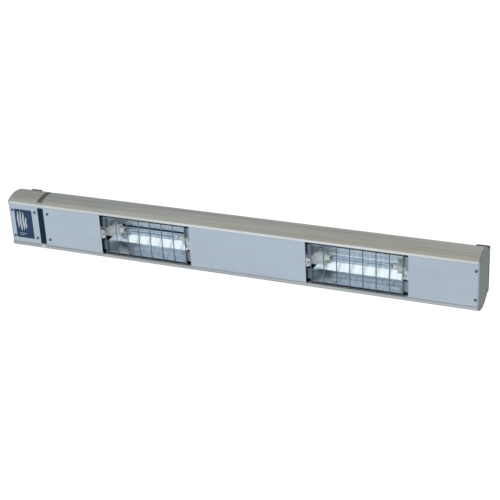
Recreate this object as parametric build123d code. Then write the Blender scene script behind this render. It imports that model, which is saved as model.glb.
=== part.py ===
"""Two-lamp strip food warmer that hangs face down under a shelf.

Millimetres. +X runs along the strip, away from the terminal box. +Z is up, towards the shelf.
The origin is the centre of the four shelf bolt holes, on top of the mounting bars.
Inside this file a place is given as (along, across, depth): the distance from the left end, Y, and
the distance up into the body from the open face.
"""
from build123d import *
import os

# ---- driving dimensions: outside ----
TOTAL_LENGTH = 735.0
BODY_RADIUS = 43.4          # outer radius of the curved housing
BODY_DEPTH = 54.9           # open face to flat back
ARC_DEPTH = 24.7            # open face to the centre of the curve
WALL = 2.0
LIP_THICKNESS = 1.3
LIP_CHAMFER = 0.8           # on the lips' inner edges
LIP_OPENING = 31.35         # half the width between the lips
LIP_ROUND = 1.4
BACK_ROUND = 2.0
CAP_THICKNESS = 1.5

# ---- driving dimensions: along the strip ----
BOX_END = 50.2              # terminal box housing ends here
BULKHEAD_THICKNESS = 1.5
COLLAR_WIDTH = 6.0
COLLAR_RECESS = 1.2
MAIN_START = BOX_END + 2 * BULKHEAD_THICKNESS + COLLAR_WIDTH
COVER_END = 53.0
MAIN_PLATES_START = 53.2
STRIP_ALONG = (51.3, 60.4)
STRIP_HALF_WIDTH = 29.3
STRIP_THICKNESS = 0.8
WINDOW_LENGTH = 149.0
WINDOW_CENTRES = (234.3, 563.5)

# ---- mounting bars ----
BAR_WIDTH = 19.0
BAR_LENGTH = 67.0
BAR_HEIGHT = 5.5
BAR_CENTRES = (15.0, 725.5)
SHELF_HOLE_SPACING = 40.0
SHELF_HOLE_RADIUS = 3.0
BAR_SCREW_SPACING = 20.0
BAR_SCREW_RADIUS = 2.0
BAR_SCREW_HOLE = 2.1
BOLT_CLEARANCE_RADIUS = 3.2

# ---- face plates and what holds them ----
PLATE_THICKNESS = 1.2
PLATE_HALF_WIDTH = 34.0
PLATE_SCREW_ACROSS = 21.3
PLATE_SCREWS_ALONG = (4.9, 45.3, 68.0, 730.6)
PLATE_END_GAP = 0.1
ANCHOR_WIDTH = 5.6
ANCHOR_HALF_LENGTH = 32.0
ANCHOR_HEIGHT = 4.0
LABEL_ALONG = (8.4, 39.3)
LABEL_HALF_WIDTH = 23.6
LABEL_THICKNESS = 0.3

# ---- lamp, reflector and guard ----
LAMP_DEPTH = 26.0
TUBE_RADIUS = 5.0
CAP_REACH = 58.8            # lamp centre to the end of its ceramic cap
CONTACT_REACH = 57.1        # lamp centre to its contact face
REFLECTOR_HALF_LENGTH = 65.0
REFLECTOR_THICKNESS = 0.8
REFLECTOR_FRONT = 3.6
REFLECTOR_MOUTH = 27.6
REFLECTOR_FOLD = (22.2, 31.5)
REFLECTOR_TOP = (8.6, 38.0)
REFLECTOR_RIDGE = (1.6, 36.9)
REFLECTOR_END_FLANGE = (6.0, 78.0)  # depth, and distance from the lamp centre that it reaches
GUARD_WIRE_RADIUS = 0.75
GUARD_PITCH = 19.06
GUARD_WIRES = 8
HOLDER_FACE = 54.0          # lamp centre to the inner face of a lamp holder
EAR_REACH = 8.1             # how far a bracket's ear shows inside the window
EAR_RADIUS = 6.9
EAR_HOLE = (4.0, 1.7)       # distance inside the window's edge, and radius
EAR_OFFSET = 0.6            # pressed back, clear of the guard's end wire

# ---- derived ----
ORIGIN_ALONG = sum(BAR_CENTRES) / 2
FACE_Z = -(BAR_HEIGHT + BODY_DEPTH)
PLATE_BACK = LIP_THICKNESS + PLATE_THICKNESS
INNER_RADIUS = BODY_RADIUS - WALL
INNER_BACK = BODY_DEPTH - WALL
HALF_WINDOW = WINDOW_LENGTH / 2
PORTS = [(side * across, depth) for side in (-1, 1) for across, depth in ((35.2, 9.1), (29.0, 50.0))]
PORT_RADIUS = 3.2
PORT_HOLE = 1.45
CAP_SCREW_HOLE = 1.6
SCREW_CLEARANCE = 0.05
GUARD_DEPTH = LIP_THICKNESS + GUARD_WIRE_RADIUS + 0.05

LOW = (Align.CENTER, Align.CENTER, Align.MIN)


# ---- helpers ----
def place(along, across, depth):
    """The location of a point given along, across and into the strip."""
    return Pos(along - ORIGIN_ALONG, across, FACE_Z + depth)


def block(along, across, depth):
    """A box between three pairs of limits."""
    corner = place(along[0], across[0], depth[0])
    return corner * Box(
        along[1] - along[0], across[1] - across[0], depth[1] - depth[0], align=(Align.MIN,) * 3
    )


def rod_along(start, end, across, depth, radius):
    """A round rod parallel to X."""
    low, high = sorted((start, end))
    return place(low, across, depth) * Rot(0, 90, 0) * Cylinder(radius, high - low, align=LOW)


def rod_across(start, end, along, depth, radius):
    """A round rod parallel to Y."""
    return place(along, start, depth) * Rot(-90, 0, 0) * Cylinder(radius, end - start, align=LOW)


def rod_up(start, end, along, across, radius):
    """A round rod parallel to Z."""
    return place(along, across, start) * Cylinder(radius, end - start, align=LOW)


def run_section(section, start, end):
    """Extrudes a section drawn as (across, depth) from one place along the strip to another."""
    return place(start, 0, 0) * extrude(Plane.YZ * section, end - start)


def save(name, *solids):
    """Writes one sub-part, which may be a group of identical separate pieces."""
    shape = solids[0] if len(solids) == 1 else Compound(list(solids))
    export_step(shape, f"parts/{name}.step")


# ---- sections ----
def disc_between(radius, low, high):
    """The body's disc, cut off flat at two depths."""
    middle = Pos(0, (low + high) / 2)
    return Pos(0, ARC_DEPTH) * Circle(radius) & middle * Rectangle(2 * radius, high - low)


def port_circles(radius):
    return [Pos(across, depth) * Circle(radius) for across, depth in PORTS]


def rounded_outline(radius, high):
    """The outer outline, with its lip edges and back edges rounded."""
    outline = disc_between(radius, 0, high)
    lips = outline.vertices().filter_by(lambda v: v.Y < LIP_THICKNESS)
    outline = fillet(lips, LIP_ROUND)
    back = outline.vertices().filter_by(lambda v: v.Y > high - 0.01)
    return fillet(back, BACK_ROUND)


def mouth():
    """The opening between the lips, with its chamfered edges."""
    narrow, wide = LIP_OPENING, LIP_OPENING + LIP_CHAMFER
    half = [(wide, 0), (narrow, LIP_CHAMFER), (narrow, LIP_THICKNESS)]
    mirrored = [(-across, depth) for across, depth in reversed(half)]
    return make_face(Polyline(half + mirrored, close=True))


def shell_section(outline):
    """A housing section: outline, hollow, screw ports and the mouth between the lips."""
    hollow = disc_between(INNER_RADIUS, LIP_THICKNESS, INNER_BACK)
    section = outline - hollow - mouth()
    for boss in port_circles(PORT_RADIUS):
        section += boss
    for hole in port_circles(PORT_HOLE):
        section -= hole
    return section


def reflector_opening():
    """The space inside a reflector, from its mouth to the ridge behind the lamp."""
    half = [(REFLECTOR_MOUTH, REFLECTOR_FRONT), REFLECTOR_FOLD, REFLECTOR_TOP]
    half.append((REFLECTOR_RIDGE[0], REFLECTOR_TOP[1]))
    mirrored = [(-across, depth) for across, depth in reversed(half)]
    return make_face(Polyline(half + [(0, REFLECTOR_RIDGE[1])] + mirrored, close=True))


# ---- housing ----
def bar_holes(centre):
    """The holes that one mounting bar needs through the flat back of the housing under it."""
    holes = []
    for side in (-1, 1):
        screw_across = side * BAR_SCREW_SPACING / 2
        bolt_across = side * SHELF_HOLE_SPACING / 2
        holes.append(rod_up(INNER_BACK - 1, BODY_DEPTH + 1, centre, screw_across, BAR_SCREW_HOLE))
        holes.append(rod_up(INNER_BACK - 1, BODY_DEPTH + 1, centre, bolt_across, BOLT_CLEARANCE_RADIUS))
    return holes


def housing(start, end, bar_centre):
    shell = run_section(shell_section(rounded_outline(BODY_RADIUS, BODY_DEPTH)), start, end)
    for hole in bar_holes(bar_centre):
        shell -= hole
    return shell


def collar():
    """The recessed joining ring; only its lips are as proud as the housings' lips."""
    lip_depth = 4.0
    near_face = Pos(0, lip_depth / 2) * Rectangle(2 * BODY_RADIUS, lip_depth)
    lips = rounded_outline(BODY_RADIUS, BODY_DEPTH) & near_face
    ring = disc_between(BODY_RADIUS - COLLAR_RECESS, lip_depth / 2, BODY_DEPTH - COLLAR_RECESS)
    start = BOX_END + BULKHEAD_THICKNESS
    return run_section(shell_section(lips + ring), start, start + COLLAR_WIDTH)


def bulkhead(start):
    """A closing plate between two housings, notched for the face plates and slotted for the leads."""
    inset, notch_depth = 0.5, 4.6
    outline = disc_between(BODY_RADIUS - inset, inset, BODY_DEPTH - inset)
    notch = Pos(0, notch_depth / 2) * Rectangle(2 * LIP_OPENING, notch_depth)
    behind_lips = Pos(0, (LIP_THICKNESS + notch_depth) / 2)
    notch += behind_lips * Rectangle(2 * PLATE_HALF_WIDTH + 0.2, notch_depth - LIP_THICKNESS)
    slot = Pos(0, LEAD_DEPTH) * SlotOverall(2 * GROMMET_HALF_WIDTH, 2 * GROMMET_HALF_HEIGHT)
    section = outline - notch - slot
    for hole in port_circles(PORT_HOLE):
        section -= hole
    return run_section(section, start, start + BULKHEAD_THICKNESS)


def joining_studs():
    reach = 12.0
    radius = PORT_HOLE - SCREW_CLEARANCE
    return [rod_along(BOX_END - reach, MAIN_START + reach, *port, radius) for port in PORTS]


def end_cap(start, hole_radius=0.0):
    """A flat cap; between the lips it is cut back flush with the face plates."""
    section = rounded_outline(BODY_RADIUS, BODY_DEPTH) - mouth()
    for hole in port_circles(CAP_SCREW_HOLE):
        section -= hole
    if hole_radius:
        section -= Pos(0, CABLE_DEPTH) * Circle(hole_radius)
    return run_section(section, start, start + CAP_THICKNESS)


def cap_screws(face, outward):
    """Four pan-head screws; outward is -1 at the left end and 1 at the right end."""
    head_height, head_radius, head_round = 1.6, 2.8, 0.8
    slot_depth, half_slot = 0.6, 0.4
    shank = 10.0
    screws = []
    for across, depth in PORTS:
        screw = rod_along(face, face - outward * shank, across, depth, PORT_HOLE - SCREW_CLEARANCE)
        head = rod_along(face, face + outward * head_height, across, depth, head_radius)
        rim = head.edges().filter_by(GeomType.CIRCLE).sort_by(Axis.X)[-1 if outward > 0 else 0]
        head = fillet(rim, head_round)
        top = face + outward * head_height
        slot = block(
            sorted((top, top - outward * slot_depth)),
            (across - head_radius, across + head_radius),
            (depth - half_slot, depth + half_slot),
        )
        screws.append(screw + head - slot)
    return screws


# ---- mounting bars ----
HEAD_SINK = 3.4
HEAD_RADIUS = 3.8
HEAD_HEIGHT = 3.0
NUT_RADIUS = 4.0
NUT_HEIGHT = 3.2


def mounting_bar(centre):
    bottom, top = BODY_DEPTH, BODY_DEPTH + BAR_HEIGHT
    bar = block(
        (centre - BAR_WIDTH / 2, centre + BAR_WIDTH / 2), (-BAR_LENGTH / 2, BAR_LENGTH / 2), (bottom, top)
    )
    corner_round, top_chamfer = 1.5, 0.6
    bar = fillet(bar.edges().filter_by(Axis.Z), corner_round)
    bar = chamfer(bar.edges().group_by(Axis.Z)[-1], top_chamfer)
    for side in (-1, 1):
        screw_across = side * BAR_SCREW_SPACING / 2
        bar -= rod_up(bottom - 1, top + 1, centre, screw_across, BAR_SCREW_HOLE)
        bar -= rod_up(top - HEAD_SINK, top + 1, centre, screw_across, HEAD_RADIUS + 0.4)
        bar -= rod_up(bottom - 1, top + 1, centre, side * SHELF_HOLE_SPACING / 2, SHELF_HOLE_RADIUS)
    return bar


def bar_screws(centre):
    seat = BODY_DEPTH + BAR_HEIGHT - HEAD_SINK
    shank_end = INNER_BACK - NUT_HEIGHT - 1
    socket_radius, socket_depth = 1.7, 1.8
    screws = []
    for side in (-1, 1):
        across = side * BAR_SCREW_SPACING / 2
        head = rod_up(seat, seat + HEAD_HEIGHT, centre, across, HEAD_RADIUS)
        socket_floor = place(centre, across, seat + HEAD_HEIGHT - socket_depth)
        socket = socket_floor * extrude(RegularPolygon(socket_radius, 6), socket_depth)
        screws.append(rod_up(shank_end, seat, centre, across, BAR_SCREW_RADIUS) + head - socket)
    return screws


def hex_nut(centre, across, seat, bore):
    """A nut under the given seat, with its hole clear of the thread by a little."""
    nut = place(centre, across, seat - NUT_HEIGHT) * extrude(RegularPolygon(NUT_RADIUS, 6), NUT_HEIGHT)
    return nut - rod_up(seat - NUT_HEIGHT - 1, seat + 1, centre, across, bore)


def bar_nuts(centre):
    return [
        hex_nut(centre, side * BAR_SCREW_SPACING / 2, INNER_BACK, BAR_SCREW_RADIUS + SCREW_CLEARANCE)
        for side in (-1, 1)
    ]


# ---- face plates ----
PLATE_SCREW_RADIUS = 1.4


def face_plate(start, end):
    plate = block(
        (start, end), (-PLATE_HALF_WIDTH, PLATE_HALF_WIDTH), (LIP_THICKNESS, PLATE_BACK)
    )
    for along in PLATE_SCREWS_ALONG:
        if start < along < end:
            for side in (-1, 1):
                plate -= rod_up(0, PLATE_BACK + 1, along, side * PLATE_SCREW_ACROSS, PLATE_SCREW_RADIUS + 0.2)
    return plate


def anchor_bar(along):
    """The tapped bar behind a face plate that its screws pull up against the lips."""
    bar = block(
        (along - ANCHOR_WIDTH / 2, along + ANCHOR_WIDTH / 2),
        (-ANCHOR_HALF_LENGTH, ANCHOR_HALF_LENGTH),
        (PLATE_BACK, PLATE_BACK + ANCHOR_HEIGHT),
    )
    for side in (-1, 1):
        bar -= rod_up(0, 20, along, side * PLATE_SCREW_ACROSS, PLATE_SCREW_RADIUS + SCREW_CLEARANCE)
    return bar


def plate_screws():
    head_height, head_radius, head_round = 1.0, 2.1, 0.5
    slot_depth, half_slot = 0.5, 0.3
    screws = []
    for along in PLATE_SCREWS_ALONG:
        for side in (-1, 1):
            across = side * PLATE_SCREW_ACROSS
            low = LIP_THICKNESS - head_height
            head = rod_up(low, LIP_THICKNESS, along, across, head_radius)
            head = fillet(head.edges().filter_by(GeomType.CIRCLE).sort_by(Axis.Z)[0], head_round)
            shank = rod_up(LIP_THICKNESS, PLATE_BACK + ANCHOR_HEIGHT, along, across, PLATE_SCREW_RADIUS)
            slot = block(
                (along - half_slot, along + half_slot),
                (across - head_radius, across + head_radius),
                (low, low + slot_depth),
            )
            screws.append(head + shank - slot)
    return screws


# ---- terminal box contents ----
CABLE_DEPTH = 30.0
BUSHING_HOLE = 8.0
LEAD_DEPTH = 49.2
LEAD_RADIUS = 1.5
LEAD_BEND = 5.0
LEAD_DROP = 9.0
LEAD_ROWS = (-18.0, -12.0, 12.0, 18.0)
GROMMET_HALF_WIDTH = 21.5
GROMMET_HALF_HEIGHT = 2.6
TERMINAL_BLOCK = (30.0, 46.0)
TERMINAL_HALF_WIDTH = 23.0
TERMINAL_FRONT = INNER_BACK - 13.0
TERMINAL_HOLE_RADIUS = 1.9
EARTH_STUD = (24.6, 22.0)
EARTH_STUD_RADIUS = 1.95
EARTH_STUD_LENGTH = 12.0
WASHER_RADIUS = 4.3
WASHER_THICKNESS = 1.0


def cable_bushing():
    """Flanged strain-relief bushing in the left cap; its bore takes the supply cable."""
    bore, neck, flange, barb = 4.5, BUSHING_HOLE - 0.1, 10.0, 9.0
    outside, inside, edge_round = -1.5, CAP_THICKNESS + 2.0, 0.7
    bushing = rod_along(outside, 0, 0, CABLE_DEPTH, flange)
    bushing = fillet(bushing.edges().filter_by(GeomType.CIRCLE).sort_by(Axis.X)[0], edge_round)
    bushing += rod_along(0, CAP_THICKNESS, 0, CABLE_DEPTH, neck)
    bushing += rod_along(CAP_THICKNESS, inside, 0, CABLE_DEPTH, barb)
    return bushing - rod_along(outside - 1, inside + 1, 0, CABLE_DEPTH, bore)


def terminal_places():
    """Two screws for each lead, either side of the middle of the block."""
    middle = sum(TERMINAL_BLOCK) / 2
    return [(along, across) for across in LEAD_ROWS for along in (middle - 4, middle + 4)]


def terminal_block():
    across = (-TERMINAL_HALF_WIDTH, TERMINAL_HALF_WIDTH)
    body = block(TERMINAL_BLOCK, across, (TERMINAL_FRONT, INNER_BACK))
    hole_depth, groove_depth, half_groove = 4.0, 3.0, 1.0
    for along, row in terminal_places():
        body -= rod_up(TERMINAL_FRONT - 1, TERMINAL_FRONT + hole_depth, along, row, TERMINAL_HOLE_RADIUS)
    for groove in (-5.0, 0.0, 5.0):
        width = (groove - half_groove, groove + half_groove)
        body -= block(TERMINAL_BLOCK, width, (TERMINAL_FRONT, TERMINAL_FRONT + groove_depth))
    return body


def terminal_screws():
    radius, sink, hole_depth, half_slot = TERMINAL_HOLE_RADIUS - 0.1, 1.2, 4.0, 0.25
    screws = []
    for along, row in terminal_places():
        screw = rod_up(TERMINAL_FRONT + sink, TERMINAL_FRONT + hole_depth, along, row, radius)
        slot = block(
            (along - radius, along + radius),
            (row - half_slot, row + half_slot),
            (TERMINAL_FRONT, TERMINAL_FRONT + sink + 2 * half_slot),
        )
        screws.append(screw - slot)
    return screws


def earth_stud():
    """A stud on the housing's back with a washer and a nut, as one fastened group."""
    stud = rod_up(INNER_BACK - EARTH_STUD_LENGTH, INNER_BACK, *EARTH_STUD, EARTH_STUD_RADIUS)
    seat = INNER_BACK - WASHER_THICKNESS
    bore = EARTH_STUD_RADIUS + SCREW_CLEARANCE
    washer = rod_up(seat, INNER_BACK, *EARTH_STUD, WASHER_RADIUS)
    washer -= rod_up(seat - 1, INNER_BACK + 1, *EARTH_STUD, bore)
    return [stud, washer, hex_nut(*EARTH_STUD, seat, bore)]


def lead_grommet():
    fit, overlap = 0.1, 1.0
    slot = Pos(0, LEAD_DEPTH) * SlotOverall(2 * GROMMET_HALF_WIDTH - fit, 2 * GROMMET_HALF_HEIGHT - fit)
    for across in LEAD_ROWS:
        slot -= Pos(across, LEAD_DEPTH) * Circle(LEAD_RADIUS + SCREW_CLEARANCE)
    return run_section(slot, BOX_END - overlap, MAIN_START + overlap)


def lead(row, holder_along):
    """A silicone lead from the terminal block, along the back, then down to a holder's terminal."""
    route = [
        place(TERMINAL_BLOCK[1], row, LEAD_DEPTH).position,
        place(holder_along, row, LEAD_DEPTH).position,
        place(holder_along, 0, LEAD_DEPTH - LEAD_DROP).position,
        place(holder_along, 0, LAMP_DEPTH + LEAD_RADIUS).position,
    ]
    path = FilletPolyline(*route, radius=LEAD_BEND)
    return sweep(Plane(path @ 0, z_dir=path % 0) * Circle(LEAD_RADIUS), path)


# ---- lamp holders ----
BRACKET_THICKNESS = 1.2
WEB_OFFSET = 4.25           # plate edge to the web, away from the window
WEB_TOP = 38.0
HOLDER_REAR = HALF_WINDOW + WEB_OFFSET
SOCKET_BOTTOM = 62.3
GUIDE_END = 66.0
CHAMBER_END = 77.5
PIN_RADIUS = 2.3
STEM_RADIUS = 1.5
TERMINAL_END = 85.5
HOLDER_SCREW_DEPTHS = (18.7, 33.3)
HOLDER_SCREW_RADIUS = 1.4
HOLDER_BASE_START = HOLDER_FACE + 9.0
HOLDER_HALF_WIDTH = 9.0
HOLDER_HALF_HEIGHT = 10.0
HOLDER_NOSE_RADIUS = 8.6
SOCKET_RADIUS = 4.5
CHAMBER_RADIUS = 3.3
BRACKET_HALF_WIDTH = 12.0
BRACKET_FLANGE_LENGTH = 14.0


def side_rod(centre, side, start, end, radius):
    """A rod on the lamp's axis between two distances from the lamp's centre, on one side of it."""
    return rod_along(centre + side * start, centre + side * end, 0, LAMP_DEPTH, radius)


def side_block(centre, side, along, across, depth):
    return block(sorted((centre + side * along[0], centre + side * along[1])), across, depth)


def holder_bracket(centre, side):
    """Folded steel angle: a flange with a round ear behind the face plate, and a web for the holder."""
    front, back = PLATE_BACK, PLATE_BACK + BRACKET_THICKNESS
    across = (-BRACKET_HALF_WIDTH, BRACKET_HALF_WIDTH)
    web = (HOLDER_REAR, HOLDER_REAR + BRACKET_THICKNESS)
    along = (HALF_WINDOW, HALF_WINDOW + BRACKET_FLANGE_LENGTH)
    bracket = side_block(centre, side, along, across, (front, back))
    ear_along = centre + side * (HALF_WINDOW - EAR_REACH + EAR_RADIUS)
    bracket += rod_up(front + EAR_OFFSET, back + EAR_OFFSET, ear_along, 0, EAR_RADIUS)
    bracket += side_block(centre, side, web, across, (front, WEB_TOP))
    inset, hole_radius = EAR_HOLE
    bracket -= rod_up(front - 1, back + 1, centre + side * (HALF_WINDOW - inset), 0, hole_radius)
    bracket -= side_rod(centre, side, web[0] - 1, web[1] + 1, SOCKET_RADIUS)
    for depth in HOLDER_SCREW_DEPTHS:
        ends = (centre + side * (web[0] - 1), centre + side * (web[1] + 1))
        bracket -= rod_along(*ends, 0, depth, HOLDER_SCREW_RADIUS + 0.1)
    return bracket


def lamp_holder(centre, side, sprung):
    """Ceramic socket: a square base on the web and a round nose that takes the lamp's cap."""
    depths = (LAMP_DEPTH - HOLDER_HALF_HEIGHT, LAMP_DEPTH + HOLDER_HALF_HEIGHT)
    across = (-HOLDER_HALF_WIDTH, HOLDER_HALF_WIDTH)
    corner_round, screw_hole_depth = 2.0, 8.0
    base = side_block(centre, side, (HOLDER_BASE_START, HOLDER_REAR), across, depths)
    base = fillet(base.edges().filter_by(Axis.X), corner_round)
    holder = base + side_rod(centre, side, HOLDER_FACE, HOLDER_BASE_START, HOLDER_NOSE_RADIUS)
    holder -= side_rod(centre, side, HOLDER_FACE - 1, SOCKET_BOTTOM, SOCKET_RADIUS)
    holder -= side_rod(centre, side, SOCKET_BOTTOM - 1, GUIDE_END, PIN_RADIUS + SCREW_CLEARANCE)
    if sprung:
        holder -= side_rod(centre, side, GUIDE_END, CHAMBER_END, CHAMBER_RADIUS)
    holder -= side_rod(centre, side, GUIDE_END - 1, HOLDER_REAR + 1, STEM_RADIUS + SCREW_CLEARANCE)
    ends = (centre + side * (HOLDER_REAR - screw_hole_depth), centre + side * (HOLDER_REAR + 1))
    for depth in HOLDER_SCREW_DEPTHS:
        holder -= rod_along(*ends, 0, depth, HOLDER_SCREW_RADIUS + SCREW_CLEARANCE)
    return holder


def holder_screws(centre, side):
    web_back = HOLDER_REAR + BRACKET_THICKNESS
    shank_length, head_height, head_radius = 7.0, 1.8, 2.6
    screws = []
    for depth in HOLDER_SCREW_DEPTHS:
        ends = (centre + side * (HOLDER_REAR - shank_length), centre + side * web_back)
        shank = rod_along(*ends, 0, depth, HOLDER_SCREW_RADIUS)
        head_ends = (centre + side * web_back, centre + side * (web_back + head_height))
        screws.append(shank + rod_along(*head_ends, 0, depth, head_radius))
    return screws


def fixed_contact(centre, side):
    """A solid pin that meets the lamp's contact, with a stem out to the lead."""
    pin = side_rod(centre, side, CONTACT_REACH, GUIDE_END, PIN_RADIUS)
    return pin + side_rod(centre, side, GUIDE_END, TERMINAL_END, STEM_RADIUS)


SPRING_SEAT = 76.5
STOP_FRONT, STOP_BACK = 66.3, 67.8
STOP_RADIUS = 3.0
TAIL_END = 72.8
TAIL_RADIUS = 1.7


def spring_terminal(centre, side):
    """The disc that the contact spring stands on, with its stem out to the lead."""
    disc = side_rod(centre, side, SPRING_SEAT, CHAMBER_END, CHAMBER_RADIUS - 0.1)
    return disc + side_rod(centre, side, CHAMBER_END, TERMINAL_END, STEM_RADIUS)


def plunger(centre, side):
    """The sliding contact: pin, stop collar and a tail that guides the spring."""
    pin = side_rod(centre, side, CONTACT_REACH, STOP_FRONT, PIN_RADIUS)
    stop = side_rod(centre, side, STOP_FRONT, STOP_BACK, STOP_RADIUS)
    return pin + stop + side_rod(centre, side, STOP_BACK, TAIL_END, TAIL_RADIUS)


def contact_spring(centre, side):
    wire, radius, turns = 0.35, 2.5, 5
    height = SPRING_SEAT - STOP_BACK - 2 * wire
    helix = Helix(pitch=height / turns, height=height, radius=radius)
    coil = sweep(Plane(helix @ 0, z_dir=helix % 0) * Circle(wire), helix)
    return place(centre + side * (STOP_BACK + wire), 0, LAMP_DEPTH) * Rot(0, 90 * side, 0) * coil


# ---- lamps ----
TUBE_WALL = 1.0
STRAIGHT_END = 42.0         # lamp centre to the end of the tube's straight part
DOME_END = 45.0
PINCH_END = 49.5
PINCH_HALF_WIDTH = 2.9
PINCH_HALF_THICKNESS = 1.5
LEAD_IN_BORE = 0.6
CAP_START = 46.5
CAP_RADIUS = 4.2
CAP_RECESS_START = 56.3


def lamp_tube(centre):
    """Quartz tube with domed ends and flat pinches, bored through for the lead-in wires."""
    neck = 2.2
    bore = TUBE_RADIUS - TUBE_WALL
    outside = [
        (0, 0), (0, TUBE_RADIUS), (STRAIGHT_END, TUBE_RADIUS), (DOME_END, neck),
        (PINCH_END, neck), (PINCH_END, 0),
    ]
    inside = [
        (0, 0), (0, bore), (STRAIGHT_END - TUBE_WALL, bore), (DOME_END - TUBE_WALL, LEAD_IN_BORE),
        (PINCH_END + 1, LEAD_IN_BORE), (PINCH_END + 1, 0),
    ]
    tube = turned(centre, outside)
    depths = (LAMP_DEPTH - PINCH_HALF_THICKNESS, LAMP_DEPTH + PINCH_HALF_THICKNESS)
    for side in (-1, 1):
        along = (DOME_END - 0.5, PINCH_END)
        tube += side_block(centre, side, along, (-PINCH_HALF_WIDTH, PINCH_HALF_WIDTH), depths)
    return tube - turned(centre, inside)


def turned(centre, half_profile):
    """A body turned about the lamp's axis from (distance from centre, radius) points, both ways."""
    half = revolve(Plane.XZ * make_face(Polyline(half_profile, close=True)), Axis.X)
    return place(centre, 0, LAMP_DEPTH) * (half + mirror(half, Plane.YZ))


def lamp_caps(centre):
    """Ceramic end caps: a slot for the pinch, a hole for the lead-in and a recess for the contact."""
    slot_across = PINCH_HALF_WIDTH + 0.1
    slot_depth = PINCH_HALF_THICKNESS + 0.75
    caps = []
    for side in (-1, 1):
        cap = side_rod(centre, side, CAP_START, CAP_REACH, CAP_RADIUS)
        cap -= side_block(
            centre, side, (CAP_START - 0.5, PINCH_END + 0.5), (-slot_across, slot_across),
            (LAMP_DEPTH - slot_depth, LAMP_DEPTH + slot_depth),
        )
        cap -= side_rod(centre, side, PINCH_END - 0.5, CAP_RECESS_START, LEAD_IN_BORE)
        cap -= side_rod(centre, side, CAP_RECESS_START, CAP_REACH + 1, CONTACT_RADIUS + SCREW_CLEARANCE)
        caps.append(cap)
    return caps


CONTACT_RADIUS = 2.55
COIL_REACH = 36.0
COIL_RADIUS = 1.1
LEAD_IN_RADIUS = 0.5
SUPPORT_PLACES = (-27.0, -9.0, 9.0, 27.0)
SUPPORT_THICKNESS = 0.4
SUPPORT_RADIUS = 3.6


def lamp_contacts(centre):
    return [side_rod(centre, side, CAP_RECESS_START, CONTACT_REACH, CONTACT_RADIUS) for side in (-1, 1)]


def lamp_filament(centre):
    """The filament coil as its envelope, its support discs and the two lead-in wires."""
    filament = side_rod(centre, 1, -COIL_REACH, COIL_REACH, COIL_RADIUS)
    filament += side_rod(centre, 1, -CAP_RECESS_START, CAP_RECESS_START, LEAD_IN_RADIUS)
    for distance in SUPPORT_PLACES:
        ends = (distance - SUPPORT_THICKNESS / 2, distance + SUPPORT_THICKNESS / 2)
        filament += side_rod(centre, 1, *ends, SUPPORT_RADIUS)
    return filament


# ---- reflectors and guards ----
BELOW_MOUTH = Pos(0, REFLECTOR_FRONT - 5) * Rectangle(2 * BODY_RADIUS, 10)
REFLECTOR_NOTCH = (21.0, LAMP_DEPTH + 10.5)     # width and top of the notch round the lamp holder
REFLECTOR_SCREW_RADIUS = 1.4
STANDOFF_RADIUS = 3.0
STANDOFF_PLACES = ((-40.0, -5.4), (40.0, 5.4))  # from the window's centre


def reflector_outside():
    """The reflector's outer outline, cut off at the mouth."""
    return offset(reflector_opening(), REFLECTOR_THICKNESS, kind=Kind.INTERSECTION) - BELOW_MOUTH


def reflector(centre):
    sheet = reflector_outside() - reflector_opening()
    trough = run_section(sheet, centre - REFLECTOR_HALF_LENGTH, centre + REFLECTOR_HALF_LENGTH)
    for along, across in standoff_places(centre):
        trough -= rod_up(REFLECTOR_TOP[1] - 1, INNER_BACK, along, across, REFLECTOR_SCREW_RADIUS + 0.1)
    return trough


def reflector_end(centre, side):
    """A cheek across the end of the trough, notched round the holder, with two flanges outwards."""
    width, top = REFLECTOR_NOTCH
    outline = reflector_outside() - Pos(0, top / 2) * Rectangle(width, top)
    inner = centre + side * REFLECTOR_HALF_LENGTH
    cheek = run_section(outline, *sorted((inner, inner + side * REFLECTOR_THICKNESS)))
    depth, reach = REFLECTOR_END_FLANGE
    for edge in (-1, 1):
        across = sorted((edge * width / 2, edge * (REFLECTOR_MOUTH - 1.0)))
        depths = (depth, depth + REFLECTOR_THICKNESS)
        cheek += side_block(centre, side, (REFLECTOR_HALF_LENGTH, reach), across, depths)
    return cheek


def reflector_ends(centre):
    return [reflector_end(centre, side) for side in (-1, 1)]


def standoff_places(centre):
    return [(centre + along, across) for along, across in STANDOFF_PLACES]


def reflector_standoffs(centre):
    low = REFLECTOR_TOP[1] + REFLECTOR_THICKNESS
    thread_length = 6.0
    posts = []
    for along, across in standoff_places(centre):
        post = rod_up(low, INNER_BACK, along, across, STANDOFF_RADIUS)
        hole_radius = REFLECTOR_SCREW_RADIUS + SCREW_CLEARANCE
        posts.append(post - rod_up(low - 1, low + thread_length, along, across, hole_radius))
    return posts


def reflector_screws(centre):
    seat = REFLECTOR_TOP[1]
    head_height, head_radius, head_round, shank = 1.2, 2.5, 0.6, 6.0
    screws = []
    for along, across in standoff_places(centre):
        head = rod_up(seat - head_height, seat, along, across, head_radius)
        head = fillet(head.edges().filter_by(GeomType.CIRCLE).sort_by(Axis.Z)[0], head_round)
        screws.append(head + rod_up(seat, seat + shank, along, across, REFLECTOR_SCREW_RADIUS))
    return screws


def guard(centre):
    """Wires spot-welded where they touch: cross wires and two short hooks on two long wires."""
    radius, depth = GUARD_WIRE_RADIUS, GUARD_DEPTH
    rail, end, hook_end, hook_offset, overhang = 31.0, 33.5, 29.8, 5.5, 3.0
    first = -GUARD_PITCH * (GUARD_WIRES - 1) / 2
    rail_depth = depth + 2 * radius
    wires = [
        rod_along(centre + first - overhang, centre - first + overhang, side * rail, rail_depth, radius)
        for side in (-1, 1)
    ]
    for index in range(GUARD_WIRES):
        wires.append(rod_across(-end, end, centre + first + index * GUARD_PITCH, depth, radius))
    for side in (-1, 1):
        wires.append(rod_across(-end, -hook_end, centre + side * hook_offset, depth, radius))
    return wires


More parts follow.
